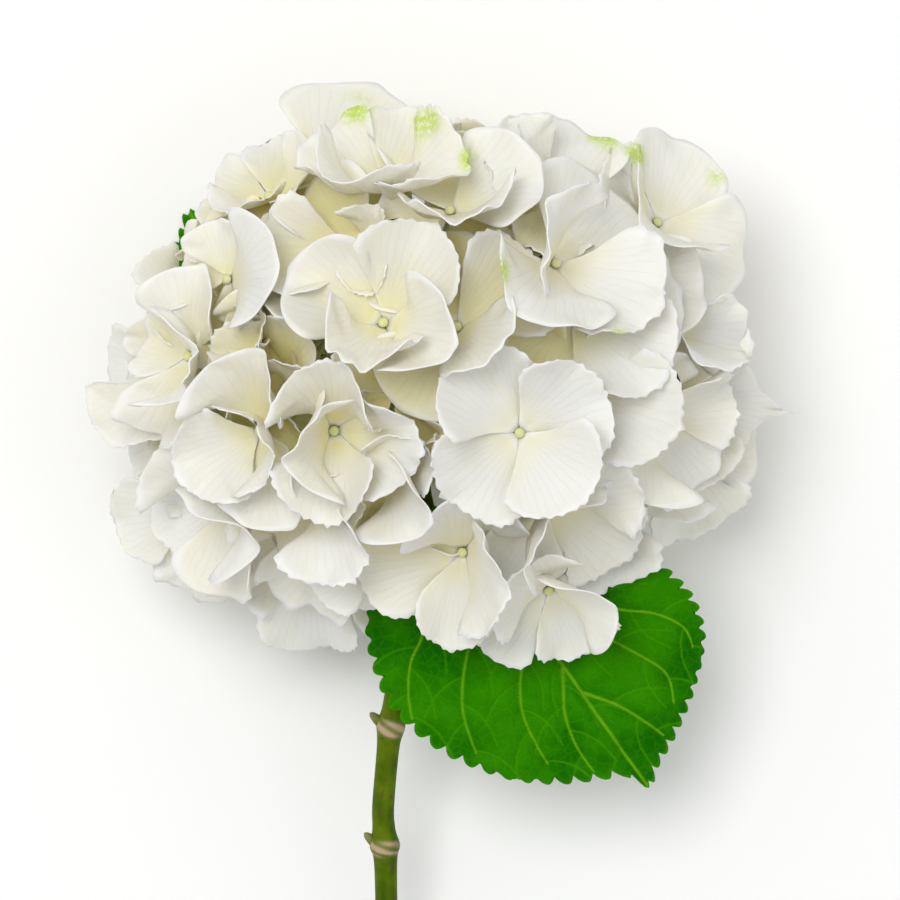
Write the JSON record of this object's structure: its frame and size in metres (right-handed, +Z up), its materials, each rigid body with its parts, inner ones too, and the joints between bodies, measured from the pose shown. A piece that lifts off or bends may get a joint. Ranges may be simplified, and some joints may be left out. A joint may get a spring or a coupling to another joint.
{
  "type": "cut hydrangea",
  "caption": "Cut mophead hydrangea lying on its side: a round head of creamy white florets on a green stem with serrated leaves.",
  "frame": {"origin": "middle of the footprint of the whole flower, on the surface that it lies on", "axes": "+Z up, +Y from the cut end of the stem towards the flower head, +X to the right when seen from above"},
  "size_m": [0.1884, 0.3266, 0.1433],
  "materials": {
    "stem_green": "satin olive green bark with yellowish edges, brown lenticels and pale leaf scars",
    "ray_green": "matt pale green",
    "leaf_green": "slightly glossy saturated green with pale sunken veins",
    "leaf_underside_green": "matt green with raised pale veins",
    "sepal_cream": "soft translucent white, cream in the folds, with fine veins and lime green blotches on a few margins"
  },
  "bodies": {
    "root": {"stem": "stem_green", "ray_1": "ray_green", "ray_2": "ray_green", "ray_3": "ray_green", "ray_4": "ray_green", "ray_5": "ray_green", "ray_6": "ray_green", "leaf_front": "leaf_green", "leaf_back": "leaf_underside_green", "floret_01": "sepal_cream", "floret_02": "sepal_cream", "floret_03": "sepal_cream", "floret_04": "sepal_cream", "floret_05": "sepal_cream", "floret_06": "sepal_cream", "floret_07": "sepal_cream", "floret_08": "sepal_cream", "floret_09": "sepal_cream", "floret_10": "sepal_cream", "floret_11": "sepal_cream", "floret_12": "sepal_cream", "floret_13": "sepal_cream", "floret_14": "sepal_cream", "floret_15": "sepal_cream", "floret_16": "sepal_cream", "floret_17": "sepal_cream", "floret_18": "sepal_cream", "floret_19": "sepal_cream", "floret_20": "sepal_cream", "floret_21": "sepal_cream", "floret_22": "sepal_cream", "floret_23": "sepal_cream", "floret_24": "sepal_cream", "floret_25": "sepal_cream", "floret_26": "sepal_cream", "floret_27": "sepal_cream", "floret_28": "sepal_cream", "floret_29": "sepal_cream", "floret_30": "sepal_cream", "floret_31": "sepal_cream", "floret_32": "sepal_cream", "floret_33": "sepal_cream", "floret_34": "sepal_cream", "floret_35": "sepal_cream", "floret_36": "sepal_cream", "floret_37": "sepal_cream", "floret_38": "sepal_cream", "floret_39": "sepal_cream", "floret_40": "sepal_cream", "floret_41": "sepal_cream", "floret_42": "sepal_cream", "floret_43": "sepal_cream", "floret_44": "sepal_cream", "floret_45": "sepal_cream", "floret_46": "sepal_cream", "floret_47": "sepal_cream", "floret_48": "sepal_cream", "floret_49": "sepal_cream", "floret_50": "sepal_cream", "floret_51": "sepal_cream"}
  },
  "joints": []
}
